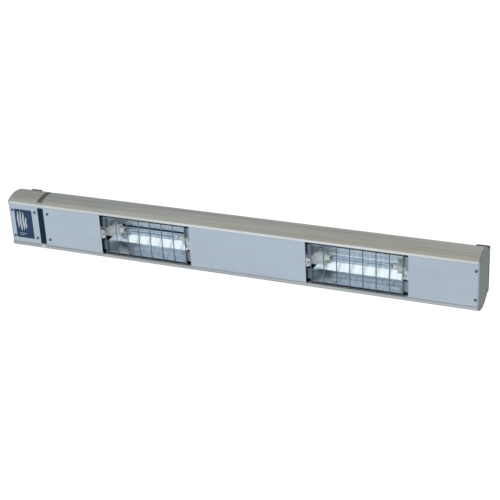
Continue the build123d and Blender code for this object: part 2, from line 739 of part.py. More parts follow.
# ---- the assembly ----
def build_housing():
    main_end = TOTAL_LENGTH - CAP_THICKNESS
    save("terminal_box_housing", housing(CAP_THICKNESS, BOX_END, BAR_CENTRES[0]))
    save("main_housing", housing(MAIN_START, main_end, BAR_CENTRES[1]))
    save("joining_collar", collar())
    save("box_bulkhead", bulkhead(BOX_END))
    save("main_bulkhead", bulkhead(BOX_END + BULKHEAD_THICKNESS + COLLAR_WIDTH))
    save("joining_studs", *joining_studs())
    save("end_cap_left", end_cap(0, hole_radius=BUSHING_HOLE))
    save("end_cap_right", end_cap(main_end))
    save("end_cap_screws", *cap_screws(0, -1), *cap_screws(TOTAL_LENGTH, 1))
    left, right = BAR_CENTRES
    save("mounting_bar_left", mounting_bar(left))
    save("mounting_bar_right", mounting_bar(right))
    save("mounting_bar_screws", *bar_screws(left), *bar_screws(right))
    save("mounting_bar_nuts", *bar_nuts(left), *bar_nuts(right))


def build_face():
    first, second = WINDOW_CENTRES
    main_end = TOTAL_LENGTH - CAP_THICKNESS
    save("terminal_box_cover", face_plate(CAP_THICKNESS + PLATE_END_GAP, COVER_END))
    save("face_plate_left", face_plate(MAIN_PLATES_START, first - HALF_WINDOW))
    save("face_plate_middle", face_plate(first + HALF_WINDOW, second - HALF_WINDOW))
    save("face_plate_right", face_plate(second + HALF_WINDOW, main_end - PLATE_END_GAP))
    save("face_plate_screws", *plate_screws())
    save("box_anchor_bars", *[anchor_bar(along) for along in PLATE_SCREWS_ALONG[:2]])
    save("main_anchor_bars", *[anchor_bar(along) for along in PLATE_SCREWS_ALONG[2:]])
    save("data_label", block(
        LABEL_ALONG, (-LABEL_HALF_WIDTH, LABEL_HALF_WIDTH), (LIP_THICKNESS - LABEL_THICKNESS, LIP_THICKNESS)
    ))
    save("joint_strip", block(
        STRIP_ALONG, (-STRIP_HALF_WIDTH, STRIP_HALF_WIDTH), (LIP_THICKNESS - STRIP_THICKNESS, LIP_THICKNESS)
    ))


def build_terminal_box():
    save("cable_bushing", cable_bushing())
    save("terminal_block", terminal_block())
    save("terminal_block_screws", *terminal_screws())
    save("earth_stud_set", *earth_stud())
    save("lead_grommet", lead_grommet())


def build_small_fasteners():
    """The pieces that are the same in both windows share one node each."""
    first, second = WINDOW_CENTRES
    save("reflector_screws", *reflector_screws(first), *reflector_screws(second))
    save("reflector_standoffs", *reflector_standoffs(first), *reflector_standoffs(second))
    screws = []
    for centre in WINDOW_CENTRES:
        screws += holder_screws(centre, -1) + holder_screws(centre, 1)
    save("holder_screws", *screws)


def build_lamp_unit(number, centre, rows):
    """One window's worth: reflector, guard, lamp, its two holders and their leads."""
    lead_reach = TERMINAL_END - LEAD_RADIUS
    save(f"reflector_{number}", reflector(centre))
    save(f"reflector_ends_{number}", *reflector_ends(centre))
    save(f"wire_guard_{number}", *guard(centre))
    save(f"holder_brackets_{number}", holder_bracket(centre, -1), holder_bracket(centre, 1))
    save(f"lamp_holder_fixed_{number}", lamp_holder(centre, -1, sprung=False))
    save(f"lamp_holder_sprung_{number}", lamp_holder(centre, 1, sprung=True))
    save(f"fixed_contact_{number}", fixed_contact(centre, -1))
    save(f"spring_terminal_{number}", spring_terminal(centre, 1))
    save(f"sprung_contact_{number}", plunger(centre, 1))
    save(f"contact_spring_{number}", contact_spring(centre, 1))
    save(f"lamp_tube_{number}", lamp_tube(centre))
    save(f"lamp_caps_{number}", *lamp_caps(centre))
    save(f"lamp_contacts_{number}", *lamp_contacts(centre))
    save(f"lamp_filament_{number}", lamp_filament(centre))
    save(f"lamp_leads_{number}", lead(rows[0], centre - lead_reach), lead(rows[1], centre + lead_reach))


os.makedirs("parts", exist_ok=True)
build_housing()
build_face()
build_terminal_box()
build_small_fasteners()
for index, window_centre in enumerate(WINDOW_CENTRES):
    build_lamp_unit(index + 1, window_centre, (LEAD_ROWS[1 - index], LEAD_ROWS[2 + index]))
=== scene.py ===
"""Looks of the two-lamp strip food warmer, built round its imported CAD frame. Metres unless a name says mm."""

import math

import bpy
from mathutils import Matrix, Vector


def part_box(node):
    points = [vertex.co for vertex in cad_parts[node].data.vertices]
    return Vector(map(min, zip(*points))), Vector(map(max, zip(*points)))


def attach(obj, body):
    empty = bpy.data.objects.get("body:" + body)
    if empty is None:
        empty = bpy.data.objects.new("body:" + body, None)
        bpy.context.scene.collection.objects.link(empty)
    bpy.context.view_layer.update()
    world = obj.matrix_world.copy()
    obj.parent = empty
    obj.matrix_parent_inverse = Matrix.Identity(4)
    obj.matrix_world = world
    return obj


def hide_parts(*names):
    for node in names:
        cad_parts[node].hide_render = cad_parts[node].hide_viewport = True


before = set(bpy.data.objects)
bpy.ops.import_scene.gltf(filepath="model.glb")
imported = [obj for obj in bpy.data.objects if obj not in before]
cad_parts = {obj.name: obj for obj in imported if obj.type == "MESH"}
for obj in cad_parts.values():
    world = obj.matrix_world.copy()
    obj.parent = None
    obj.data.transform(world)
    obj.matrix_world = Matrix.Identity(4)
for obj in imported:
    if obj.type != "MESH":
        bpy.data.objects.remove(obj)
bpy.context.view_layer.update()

MM = 0.001
LAMPS = (1, 2)


# ---- places read from the frame ----
def box(node):
    low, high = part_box(node)
    return Vector(low), Vector(high)


def centre_of(node):
    low, high = box(node)
    return (low + high) / 2


LEFT_END = box("end_cap_left")[0].x
FACE_Z = box("main_housing")[0].z
LABEL_LOW, LABEL_HIGH = box("data_label")
LAMP_DEPTH_MM = (centre_of("lamp_tube_1").z - FACE_Z) / MM


def in_window(number, along, across, depth):
    """A point given in mm from a window's centre line and the open face."""
    return Vector((centre_of(f"lamp_tube_{number}").x + along * MM, across * MM, FACE_Z + depth * MM))


# ---- camera ----
CAMERA_OFFSET = Vector((1.0568, -0.7241, -1.4192))     # from the left end of the face's centre line
CAMERA_RIGHT = Vector((0.91687, 0.04899, 0.39616))
CAMERA_UP = Vector((-0.12461, -0.90772, 0.40065))
CAMERA_LENS = 86.94
SENSOR = 36.0


def make_camera():
    data = bpy.data.cameras.new("camera")
    data.lens = CAMERA_LENS
    data.sensor_width = SENSOR
    data.clip_start = 0.05
    data.clip_end = 50
    camera = bpy.data.objects.new("camera", data)
    bpy.context.scene.collection.objects.link(camera)
    right = CAMERA_RIGHT.normalized()
    up = (CAMERA_UP - CAMERA_UP.dot(right) * right).normalized()
    turn = Matrix((right, up, right.cross(up))).transposed().to_4x4()
    place = Vector((LEFT_END, 0, FACE_Z)) + CAMERA_OFFSET
    camera.matrix_world = Matrix.Translation(place) @ turn
    bpy.context.scene.camera = camera


# ---- studio ----
FLOOR_Z = -2.3
FLOOR_REACH = 9.0
FLOOR_COLOUR = (0.92, 0.92, 0.92)
FLOOR_GLOW = 0.22
OBJECT_MIDDLE = (0, 0, -0.035)
BACKDROP = 1.05                     # brightness of the white that only the camera sees
# The studio's brightness by height, from straight down (0) to straight up (1), on two sides of it.
SKY_FAR = (
    (0.00, (0.55, 0.59, 0.63)),
    (0.35, (0.46, 0.48, 0.48)),
    (0.50, (0.44, 0.46, 0.44)),
    (0.62, (0.34, 0.36, 0.35)),
    (1.00, (0.27, 0.31, 0.34)),
)
SKY_NEAR = (
    (0.00, (0.55, 0.59, 0.63)),
    (0.35, (0.46, 0.48, 0.48)),
    (0.50, (0.37, 0.37, 0.35)),
    (0.62, (0.39, 0.39, 0.33)),
    (1.00, (0.43, 0.43, 0.42)),
)
SKY_SIDES = (-0.55, -0.20)          # along X, where the far and the near side begin
SKY_FRONT, SKY_BACK = 1.1, 0.75     # brightness towards -Y and +Y


def make_world():
    """A white backdrop for the camera, and a soft studio gradient for light and reflections."""
    world = bpy.data.worlds.new("studio")
    bpy.context.scene.world = world
    world.use_nodes = True
    tree = world.node_tree
    tree.nodes.clear()
    place = tree.nodes.new("ShaderNodeTexCoord")
    split = tree.nodes.new("ShaderNodeSeparateXYZ")
    tree.links.new(place.outputs["Generated"], split.inputs[0])
    height = map_range(tree, split.outputs["Z"], -1, 1, 0, 1)
    far, near = (colour_ramp(tree, height, stops) for stops in (SKY_FAR, SKY_NEAR))
    colour = blend(tree, map_range(tree, split.outputs["X"], *SKY_SIDES, 0, 1), far, near)
    facing = map_range(tree, split.outputs["Y"], -1, 1, SKY_FRONT, SKY_BACK)
    studio = tree.nodes.new("ShaderNodeBackground")
    tree.links.new(colour, studio.inputs["Color"])
    tree.links.new(facing, studio.inputs["Strength"])
    white = tree.nodes.new("ShaderNodeBackground")
    white.inputs["Color"].default_value = (1, 1, 1, 1)
    white.inputs["Strength"].default_value = BACKDROP
    path = tree.nodes.new("ShaderNodeLightPath")
    mix = tree.nodes.new("ShaderNodeMixShader")
    tree.links.new(path.outputs["Is Camera Ray"], mix.inputs[0])
    tree.links.new(studio.outputs[0], mix.inputs[1])
    tree.links.new(white.outputs[0], mix.inputs[2])
    output = tree.nodes.new("ShaderNodeOutputWorld")
    tree.links.new(mix.outputs[0], output.inputs["Surface"])


def soft_box(name, place, size, radiance, colour=(1, 1, 1), target=None):
    """A rectangular light of a given radiance. It faces the target, or straight up without one."""
    data = bpy.data.lights.new(name, "AREA")
    data.shape = "RECTANGLE"
    data.size, data.size_y = size
    data.energy = radiance * math.pi * size[0] * size[1]
    data.color = colour
    light = bpy.data.objects.new(name, data)
    bpy.context.scene.collection.objects.link(light)
    light.location = place
    light.rotation_euler = (math.pi, 0, 0)
    if target is not None:
        light.rotation_euler = (Vector(target) - Vector(place)).to_track_quat("-Z", "Y").to_euler()
    light.visible_camera = False


def make_floor():
    """Pale paper, well below the object."""
    sides = ((-1, -1), (1, -1), (1, 1), (-1, 1))
    corners = [(x * FLOOR_REACH, y * FLOOR_REACH, FLOOR_Z) for x, y in sides]
    mesh = bpy.data.meshes.new("floor")
    mesh.from_pydata(corners, [], [(0, 1, 2, 3)])
    mesh.materials.append(plain_material("floor_paper", FLOOR_COLOUR, 0.9, Emission_Strength=FLOOR_GLOW))
    floor = bpy.data.objects.new("floor", mesh)
    bpy.context.scene.collection.objects.link(floor)


def make_studio():
    """Two soft boxes below light the plates and the reflectors' facets; three more shape the rest."""
    make_world()
    soft_box("light_face", (-1.35, 0.75, -1.9), (3.1, 1.6), 0.41, (0.62, 0.80, 1.0))
    soft_box("light_band", (-0.95, -0.84, -1.9), (2.3, 0.6), 0.49, (0.80, 0.93, 1.0))
    soft_box("light_front", (1.2, -0.9, -1.7), (0.9, 0.9), 3.2, (0.88, 0.95, 1.0), target=OBJECT_MIDDLE)
    soft_box("light_key", (2.0, -1.6, 1.6), (1.2, 1.2), 1.6, target=OBJECT_MIDDLE)
    soft_box("light_fill", (1.8, 1.8, 1.2), (1.2, 1.2), 1.2, target=OBJECT_MIDDLE)
    bpy.context.scene.view_settings.view_transform = "Standard"
    make_floor()


# ---- node helpers ----
def map_range(tree, value, from_low, from_high, to_low, to_high):
    node = tree.nodes.new("ShaderNodeMapRange")
    node.inputs["From Min"].default_value = from_low
    node.inputs["From Max"].default_value = from_high
    node.inputs["To Min"].default_value = to_low
    node.inputs["To Max"].default_value = to_high
    tree.links.new(value, node.inputs["Value"])
    return node.outputs[0]


def colour_ramp(tree, value, stops):
    ramp = tree.nodes.new("ShaderNodeValToRGB")
    elements = ramp.color_ramp.elements
    while len(elements) < len(stops):
        elements.new(0.5)
    for element, (at, colour) in zip(elements, stops):
        element.position = at
        element.color = (*colour, 1)
    tree.links.new(value, ramp.inputs["Fac"])
    return ramp.outputs["Color"]


def colour_mix(tree, mode, first, second):
    node = tree.nodes.new("ShaderNodeMix")
    node.data_type = "RGBA"
    node.blend_type = mode
    tree.links.new(first, node.inputs["A"])
    tree.links.new(second, node.inputs["B"])
    return node


def multiply(tree, first, second):
    node = colour_mix(tree, "MULTIPLY", first, second)
    node.inputs["Factor"].default_value = 1.0
    return node.outputs["Result"]


def blend(tree, share, first, second):
    """Goes from the first colour to the second as the share goes from 0 to 1."""
    node = colour_mix(tree, "MIX", first, second)
    tree.links.new(share, node.inputs["Factor"])
    return node.outputs["Result"]


def position(tree, axis):
    place = tree.nodes.new("ShaderNodeTexCoord")
    split = tree.nodes.new("ShaderNodeSeparateXYZ")
    tree.links.new(place.outputs["Object"], split.inputs[0])
    return split.outputs[axis]


def by_depth(tree, low_mm, high_mm, at_low=0.0, at_high=1.0):
    """A value that changes between two depths, in mm from the open face."""
    low, high = FACE_Z + low_mm * MM, FACE_Z + high_mm * MM
    return map_range(tree, position(tree, "Z"), low, high, at_low, at_high)


def by_across(tree, low_mm, high_mm, at_low=0.0, at_high=1.0):
    """A value that changes between two distances across, in mm from the centre line."""
    return map_range(tree, position(tree, "Y"), low_mm * MM, high_mm * MM, at_low, at_high)


def plain_material(name, colour, roughness=0.5, metallic=0.0, **sockets):
    """A Principled material with uniform values; patterns are added by the functions below."""
    material = bpy.data.materials.new(name)
    material.use_nodes = True
    shader = shader_of(material)
    shader.inputs["Base Color"].default_value = (*colour, 1)
    shader.inputs["Roughness"].default_value = roughness
    shader.inputs["Metallic"].default_value = metallic
    for socket, value in sockets.items():
        shader.inputs[socket.replace("_", " ")].default_value = value
    return material


def shader_of(material):
    return material.node_tree.nodes["Principled BSDF"]


def noise(material, scale, stretch=(1, 1, 1), detail=3.0):
    """A noise in object space; scale is in features per metre, stretched by axis."""
    tree = material.node_tree
    place = tree.nodes.new("ShaderNodeTexCoord")
    mapping = tree.nodes.new("ShaderNodeMapping")
    mapping.inputs["Scale"].default_value = stretch
    tree.links.new(place.outputs["Object"], mapping.inputs["Vector"])
    texture = tree.nodes.new("ShaderNodeTexNoise")
    texture.inputs["Scale"].default_value = scale
    texture.inputs["Detail"].default_value = detail
    tree.links.new(mapping.outputs[0], texture.inputs["Vector"])
    return texture.outputs[0]


def shade(colour, factor):
    return tuple(channel * factor for channel in colour)


def tint(material, colour, value, contrast, warmth=0.0):
    """Varies a colour with a pattern, from a little darker to a little lighter."""
    dark = shade(colour, 1 - contrast)
    light = shade(colour, 1 + contrast * 0.6)
    dark = (dark[0] * (1 + warmth), dark[1], dark[2] * (1 - warmth))
    return colour_ramp(material.node_tree, value, ((0.3, dark), (0.7, light)))


def use_colour(material, colour):
    material.node_tree.links.new(colour, shader_of(material).inputs["Base Color"])


def use_roughness(material, value, low, high):
    tree = material.node_tree
    tree.links.new(map_range(tree, value, 0.3, 0.7, low, high), shader_of(material).inputs["Roughness"])


def emboss(material, value, height, strength=1.0):
    """Bumps the surface by a pattern."""
    tree = material.node_tree
    bump = tree.nodes.new("ShaderNodeBump")
    bump.inputs["Distance"].default_value = height
    bump.inputs["Strength"].default_value = strength
    tree.links.new(value, bump.inputs["Height"])
    tree.links.new(bump.outputs[0], shader_of(material).inputs["Normal"])


# ---- materials ----
def grained_metal(name, colour, roughness, grain, stretch, depth, contrast=0.07, bands=None, warmth=0.02):
    """Metal with grain along the axes whose stretch is small, broad bands the same way, and marks."""
    material = plain_material(name, colour, roughness, metallic=1.0)
    fine = noise(material, grain, stretch, detail=2.0)
    marks = noise(material, 14.0, (1, 1.7, 1.7), detail=5.0)
    colours = tint(material, colour, fine, contrast, warmth)
    if bands:
        scale, band_contrast = bands
        broad = tint(material, (1, 1, 1), noise(material, scale, stretch, detail=1.0), band_contrast, warmth)
        colours = multiply(material.node_tree, colours, broad)
    use_colour(material, colours)
    use_roughness(material, marks, roughness - 0.05, roughness + 0.06)
    emboss(material, fine, depth)
    return material


def grainy(name, colour, roughness, grain=900.0, depth=0.00004, contrast=0.10, **sockets):
    """A dull non-metal with a fine grain: ceramic, paint, moulded plastic or rubber."""
    material = plain_material(name, colour, roughness, **sockets)
    fine = noise(material, grain, detail=2.0)
    broad = noise(material, 70.0, detail=4.0)
    use_colour(material, tint(material, colour, broad, contrast, 0.03))
    use_roughness(material, broad, roughness - 0.07, min(1.0, roughness + 0.07))
    emboss(material, fine, depth)
    return material


def clear_quartz():
    """Clear glass with a trace of wipe marks."""
    material = plain_material("clear_quartz", (0.85, 0.92, 0.98), 0.02, IOR=1.46, Transmission_Weight=1.0)
    streaks = noise(material, 160.0, (0.08, 1, 1), detail=2.0)
    use_roughness(material, streaks, 0.0, 0.06)
    emboss(material, streaks, 0.000004)
    return material


def collar_metal(stretch):
    """Darker aluminium round the curve, the darkening being painted shade for its recess, and bright like the
    housing on the lips by the face.
    """
    painted_shade, bright = (0.30, 0.28, 0.24), (0.78, 0.78, 0.76)
    material = grained_metal("shaded_aluminium", painted_shade, 0.42, 500, stretch, 0.00001)
    tree = material.node_tree
    # Painted shade: the curve deeper than 6 mm takes the darker colour, and the lips within 2 mm of the face
    # stay bright.
    colours = colour_ramp(tree, by_depth(tree, 2, 6), ((0.0, bright), (1.0, painted_shade)))
    streaks = tint(material, (1, 1, 1), noise(material, 500, stretch), 0.08)
    use_colour(material, multiply(tree, colours, streaks))
    return material


DARK_LINE_MM = {1: (-3.9, -0.3), 2: (-0.2, 1.8)}      # across, where the sheet is darkened in a narrow line


def reflector_metal(number, stretch):
    """Bright sheet with streaks across it: satin side walls, polished facets, and behind the lamp a
    hazy top that is darkened in a narrow line."""
    satin, polished = (0.85, 0.89, 0.94), (0.88, 0.93, 0.97)
    material = plain_material(f"polished_reflector_{number}", polished, metallic=1.0)
    tree = material.node_tree
    sheet = colour_ramp(tree, by_depth(tree, 29, 32), ((0.0, satin), (1.0, polished)))
    streaks = tint(material, (1, 1, 1), noise(material, 900, stretch, detail=2.0), 0.05)
    broad = tint(material, (1, 1, 1), noise(material, 260, stretch, detail=1.0), 0.10)
    # The top is darkened in a narrow band across it, placed differently in each window.
    unmarked, line_colour = (1, 1, 1), (0.04, 0.07, 0.12)
    line = by_across(tree, *DARK_LINE_MM[number])
    dark_line = colour_ramp(tree, line, ((0.0, unmarked), (0.15, line_colour), (0.85, line_colour), (1.0, unmarked)))
    use_colour(material, multiply(tree, multiply(tree, sheet, dark_line), multiply(tree, streaks, broad)))
    walls, facets, top = (0.18,) * 3, (0.15,) * 3, (0.34,) * 3
    stops = ((0.0, walls), (0.3, facets), (0.78, facets), (0.86, top))
    roughness = colour_ramp(tree, by_depth(tree, 29, 39), stops)
    tree.links.new(roughness, shader_of(material).inputs["Roughness"])
    return material


def housing_metal(stretch):
    """Extruded aluminium with drawn lines; the +Y lip's face carries painted shade, a little darker than the
    rest.
    """
    colour, bands = (0.80, 0.80, 0.79), (160, 0.14)
    material = grained_metal("extruded_aluminium", colour, 0.33, 900, stretch, 0.000006, 0.09, bands)
    tree = material.node_tree
    bright = shader_of(material).inputs["Base Color"].links[0].from_socket
    # Painted shade: the +Y lip's face, within about 1 mm of the open face, is darkened and cooled.
    lip_shade = colour_ramp(tree, by_depth(tree, 1.0, 2.2), ((0.0, (0.70, 0.72, 0.76)), (1.0, (1, 1, 1))))
    dimmer_colour = multiply(tree, bright, lip_shade)
    use_colour(material, blend(tree, by_across(tree, 28, 31), bright, dimmer_colour))
    return material


def cheek_metal(number, stretch):
    """Dull end cheeks of one reflector, with painted shade on their flanges next to the face, darkest on the
    left.
    """
    # The dark and the middle colour are painted shade on the flanges next to the face: darkest on the left side
    # of each window, mid-tone on the right.
    dark, painted_shade, dimmer_colour = (0.17, 0.20, 0.25), (0.34, 0.39, 0.43), (0.46, 0.51, 0.55)
    material = grained_metal(f"satin_reflector_end_{number}", dimmer_colour, 0.42, 700, stretch, 0.00001)
    tree = material.node_tree
    middle = centre_of(f"lamp_tube_{number}").x
    side = map_range(tree, position(tree, "X"), middle - MM, middle + MM, 0, 1)
    flange_shade = colour_ramp(tree, side, ((0.0, dark), (1.0, painted_shade)))
    cheek = tint(material, dimmer_colour, noise(material, 700, stretch), 0.07)
    colours = blend(tree, by_depth(tree, 7, 9), flange_shade, cheek)
    streaks = tint(material, (1, 1, 1), noise(material, 220, stretch), 0.10)
    use_colour(material, multiply(tree, colours, streaks))
    return material


def make_materials():
    lengthwise, crosswise, even = (0.02, 1, 1), (1, 0.02, 0.02), (1, 1, 1)
    m = {}
    m["housing"] = housing_metal(lengthwise)
    m["collar"] = collar_metal(lengthwise)
    m["plate"] = grained_metal(
        "brushed_plate", (0.525, 0.58, 0.655), 0.31, 1500, lengthwise, 0.000006, 0.05, bands=(160, 0.02)
    )
    m["cap"] = grained_metal("end_cap_metal", (0.41, 0.46, 0.52), 0.42, 700, (1, 1, 0.04), 0.000008)
    for lamp in LAMPS:
        m[f"reflector_{lamp}"] = reflector_metal(lamp, crosswise)
        m[f"cheek_{lamp}"] = cheek_metal(lamp, (1, 1, 0.04))
    m["zinc"] = grained_metal("zinc_plate", (0.62, 0.63, 0.65), 0.36, 320, even, 0.00001, 0.08, (90, 0.06))
    m["guard"] = grained_metal("plated_wire", (0.22, 0.27, 0.36), 0.34, 900, even, 0.000006)
    # The hem's near-black colour is painted shade for the dark gap along the reflector's mouth.
    m["hem"] = grained_metal("shade_dark_hem", (0.05, 0.07, 0.11), 0.42, 800, lengthwise, 0.000006)
    m["screw"] = grained_metal("dark_plated_screw", (0.15, 0.16, 0.19), 0.40, 800, even, 0.00001)
    m["cap_screw"] = grained_metal("grey_plated_screw", (0.40, 0.41, 0.42), 0.42, 800, even, 0.00001)
    m["contact"] = grained_metal("nickel_contact", (0.70, 0.67, 0.60), 0.26, 600, even, 0.00001)
    m["tungsten"] = grained_metal("tungsten_wire", (0.34, 0.35, 0.38), 0.4, 900, even, 0.000006)
    m["black"] = grainy("black_paint", (0.022, 0.022, 0.024), 0.5, grain=1500)
    m["bushing"] = grainy("bushing_plastic", (0.028, 0.028, 0.028), 0.55, grain=1100, depth=0.00006)
    m["strip"] = grainy("strip_rubber", (0.012, 0.034, 0.062), 0.6, grain=1500, Specular_IOR_Level=0.06)
    m["label"] = grainy("label_film", (0.012, 0.052, 0.130), 0.32, 2500, 0.000006, Specular_IOR_Level=0.3)
    m["label_mark"] = grainy("label_ink", (0.62, 0.66, 0.72), 0.45, 2500, 0.000006)
    m["ceramic"] = grainy("socket_ceramic", (0.72, 0.78, 0.80), 0.6)
    m["cap_ceramic"] = grainy("lamp_cap_ceramic", (0.84, 0.86, 0.84), 0.6)
    m["silicone"] = grainy("lead_silicone", (0.32, 0.05, 0.03), 0.5, grain=700)
    m["rubber"] = grainy("grommet_rubber", (0.02, 0.02, 0.02), 0.7)
    m["quartz"] = clear_quartz()
    return m


CAD_MATERIALS = {
    "housing": ("main_housing", "terminal_box_housing"),
    "collar": ("joining_collar", "box_bulkhead", "main_bulkhead"),
    "plate": ("terminal_box_cover", "face_plate_left", "face_plate_middle", "face_plate_right"),
    "cap": ("end_cap_left", "end_cap_right"),
    "reflector_1": ("reflector_1",),
    "reflector_2": ("reflector_2",),
    "cheek_1": ("reflector_ends_1",),
    "cheek_2": ("reflector_ends_2",),
    "zinc": (
        "holder_brackets_1", "holder_brackets_2", "holder_screws", "box_anchor_bars", "main_anchor_bars",
        "joining_studs", "earth_stud_set", "contact_spring_1", "contact_spring_2", "mounting_bar_nuts",
        "reflector_screws", "reflector_standoffs", "terminal_block_screws",
    ),
    "guard": ("wire_guard_1", "wire_guard_2"),
    "screw": ("face_plate_screws", "mounting_bar_screws"),
    "cap_screw": ("end_cap_screws",),
    "contact": (
        "fixed_contact_1", "fixed_contact_2", "spring_terminal_1", "spring_terminal_2",
        "sprung_contact_1", "sprung_contact_2", "lamp_contacts_1", "lamp_contacts_2",
    ),
    "tungsten": ("lamp_filament_1", "lamp_filament_2"),
    "black": ("mounting_bar_left", "mounting_bar_right"),
    "bushing": ("cable_bushing",),
    "strip": ("joint_strip",),
    "label": ("data_label",),
    "ceramic": (
        "lamp_holder_fixed_1", "lamp_holder_fixed_2", "lamp_holder_sprung_1", "lamp_holder_sprung_2",
        "terminal_block",
    ),
    "cap_ceramic": ("lamp_caps_1", "lamp_caps_2"),
    "silicone": ("lamp_leads_1", "lamp_leads_2"),
    "rubber": ("lead_grommet",),
    "quartz": ("lamp_tube_1", "lamp_tube_2"),
}


def dress_cad(materials):
    for key, nodes in CAD_MATERIALS.items():
        for node in nodes:
            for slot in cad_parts[node].material_slots:
                slot.material = materials[key]


# ---- mesh helpers ----
# A part is (points, faces). Faces wind so that their normals point out of the part.
def oval(half_width, half_height, count=12, squareness=2.0):
    """Points round a section; a squareness above 2 fills its corners."""
    points = []
    for index in range(count):
        angle = 2 * math.pi * index / count
        across, high = math.cos(angle), math.sin(angle)
        points.append((
            math.copysign(abs(across) ** (2 / squareness), across) * half_width,
            math.copysign(abs(high) ** (2 / squareness), high) * half_height,
        ))
    return points


def skin(rings, inward=False):
    """Joins rings of equal size into a closed part."""
    count = len(rings[0])
    points = [point for ring in rings for point in ring]
    faces = []
    for start in range(0, (len(rings) - 1) * count, count):
        for index in range(count):
            following = (index + 1) % count
            faces.append((start + index, start + following, start + count + following, start + count + index))
    faces.append(tuple(reversed(range(count))))
    faces.append(tuple(range(len(points) - count, len(points))))
    if inward:
        faces = [tuple(reversed(face)) for face in faces]
    return points, faces


def sweep(path, section, up=None, widths=None):
    """Runs a section along a path. Its high side keeps to `up`, or turns as little as it can."""
    ends = [path[0]] + list(path) + [path[-1]]
    directions = [(ends[index + 2] - ends[index]).normalized() for index in range(len(path))]
    widths = widths or [1.0] * len(path)
    lift = Vector(up) if up else directions[0].orthogonal()
    rings = []
    for place, direction, width in zip(path, directions, widths):
        lift = Vector(up) if up else lift
        lift = (lift - lift.dot(direction) * direction).normalized()
        side = lift.cross(direction)
        rings.append([place + (side * across + lift * high) * width for across, high in section])
    return skin(rings)


def wire(path, radius, count=10):
    """A round wire whose two ends are rounded off."""
    first = (path[1] - path[0]).normalized() * radius
    last = (path[-1] - path[-2]).normalized() * radius
    full = [path[0], path[0] + first * 0.3, path[0] + first]
    full += path[1:-1]
    full += [path[-1] - last, path[-1] - last * 0.3, path[-1]]
    widths = [0.45, 0.82, 1.0] + [1.0] * (len(path) - 2) + [1.0, 0.82, 0.45]
    return sweep(full, oval(radius, radius, count), widths=widths)


def pad(centre, radius, height, direction, count=12):
    """A low rounded button, such as a weld nugget."""
    direction = Vector(direction).normalized()
    path = [centre + direction * height * step for step in (-1.0, -0.6, 0.0, 0.6, 1.0)]
    return sweep(path, oval(radius, radius, count), widths=[0.35, 0.8, 1.0, 0.8, 0.35])


def add_piece(name, parts, material, body, nodes=(), smooth_below=40):
    """Links one piece made of parts; edges sharper than the given angle in degrees stay crisp."""
    points, faces = [], []
    for part_points, part_faces in parts:
        offset = len(points)
        points += [tuple(point) for point in part_points]
        faces += [tuple(index + offset for index in face) for face in part_faces]
    mesh = bpy.data.meshes.new(name)
    mesh.from_pydata(points, [], faces)
    mesh.polygons.foreach_set("use_smooth", [True] * len(mesh.polygons))
    mesh.set_sharp_from_angle(angle=math.radians(smooth_below))
    mesh.materials.append(material)
    piece = bpy.data.objects.new(name, mesh)
    bpy.context.scene.collection.objects.link(piece)
    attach(piece, body)
    if nodes:
        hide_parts(*nodes)
    return piece


# ---- label ----
MARK_THICKNESS = 0.05 * MM
MARK_WIDTH = 2.9 * MM
BAR_SHARE = 0.25        # of a wave's width
# Each wave's place along the label and its two ends across it; each bar's place across and its two ends.
WAVES = ((0.17, 0.08, 0.66), (0.32, 0.05, 0.76), (0.47, 0.09, 0.72), (0.60, 0.26, 0.66))
BARS = ((0.84, 0.18, 0.60), (0.90, 0.18, 0.44))
WAVE_STEPS = 36
WAVE_SWAY = 0.018
WAVE_TURNS = 1.6
WAVE_TAPER = 4          # a wave tapers over one part in four of its length at each end


def on_label(along, across):
    """A point on the label's face; both run from 0 to 1."""
    size = LABEL_HIGH - LABEL_LOW
    high = LABEL_LOW.z - MARK_THICKNESS / 2
    return Vector((LABEL_LOW.x + along * size.x, LABEL_LOW.y + across * size.y, high))


def label_marks(material):
    """Generic rising heat waves over two plain bars."""
    parts = []
    up = (0, 0, -1)
    wide, thin = MARK_WIDTH / 2, MARK_THICKNESS / 2
    wave_section = [(-wide, -thin), (wide, -thin), (wide, thin), (-wide, thin)]
    bar_section = [(across * BAR_SHARE, high) for across, high in wave_section]
    shares = [index / WAVE_STEPS for index in range(WAVE_STEPS + 1)]
    widths = [0.35 + 0.65 * min(1.0, WAVE_TAPER * share, WAVE_TAPER * (1 - share)) for share in shares]
    for along, start, end in WAVES:
        path = []
        for share in shares:
            sway = WAVE_SWAY * math.sin(share * WAVE_TURNS * 2 * math.pi)
            path.append(on_label(along + sway, start + (end - start) * share))
        parts.append(sweep(path, wave_section, up, widths))
    for across, start, end in BARS:
        parts.append(sweep([on_label(start, across), on_label(end, across)], bar_section, up))
    add_piece("label_marks", parts, material, "housing", smooth_below=20)


# ---- lamps ----
TUBE_RADIUS = 5.0 * MM
TUBE_BORE = 4.0 * MM
# Sections of one half of the tube: mm from the centre, half width, half thickness, squareness.
TUBE_SECTIONS = (
    (42.0, 5.0, 5.0, 2.0), (42.9, 4.85, 4.75, 2.1), (43.7, 4.4, 4.1, 2.3), (44.4, 3.7, 3.0, 2.7),
    (45.0, 3.1, 2.0, 3.2), (45.5, 2.9, 1.6, 4.0), (46.2, 2.9, 1.45, 5.0), (47.2, 2.9, 1.2, 5.0),
    (47.6, 2.9, 1.45, 5.0), (48.6, 2.9, 1.2, 5.0), (49.0, 2.9, 1.45, 5.0), (49.5, 2.75, 1.3, 4.0),
)
BORE_SECTIONS = ((40.6, 4.0), (41.8, 3.7), (42.7, 3.0), (43.4, 1.9), (43.9, 0.8))
TUBE_SIDES = 40


def tube_ring(number, along, half_width, half_thickness, squareness=2.0):
    """A ring of points round the lamp's axis, at a distance in mm from its centre."""
    centre = in_window(number, along, 0, LAMP_DEPTH_MM)
    return [
        centre + Vector((0, across, high)) for across, high in
        oval(half_width * MM, half_thickness * MM, TUBE_SIDES, squareness)
    ]


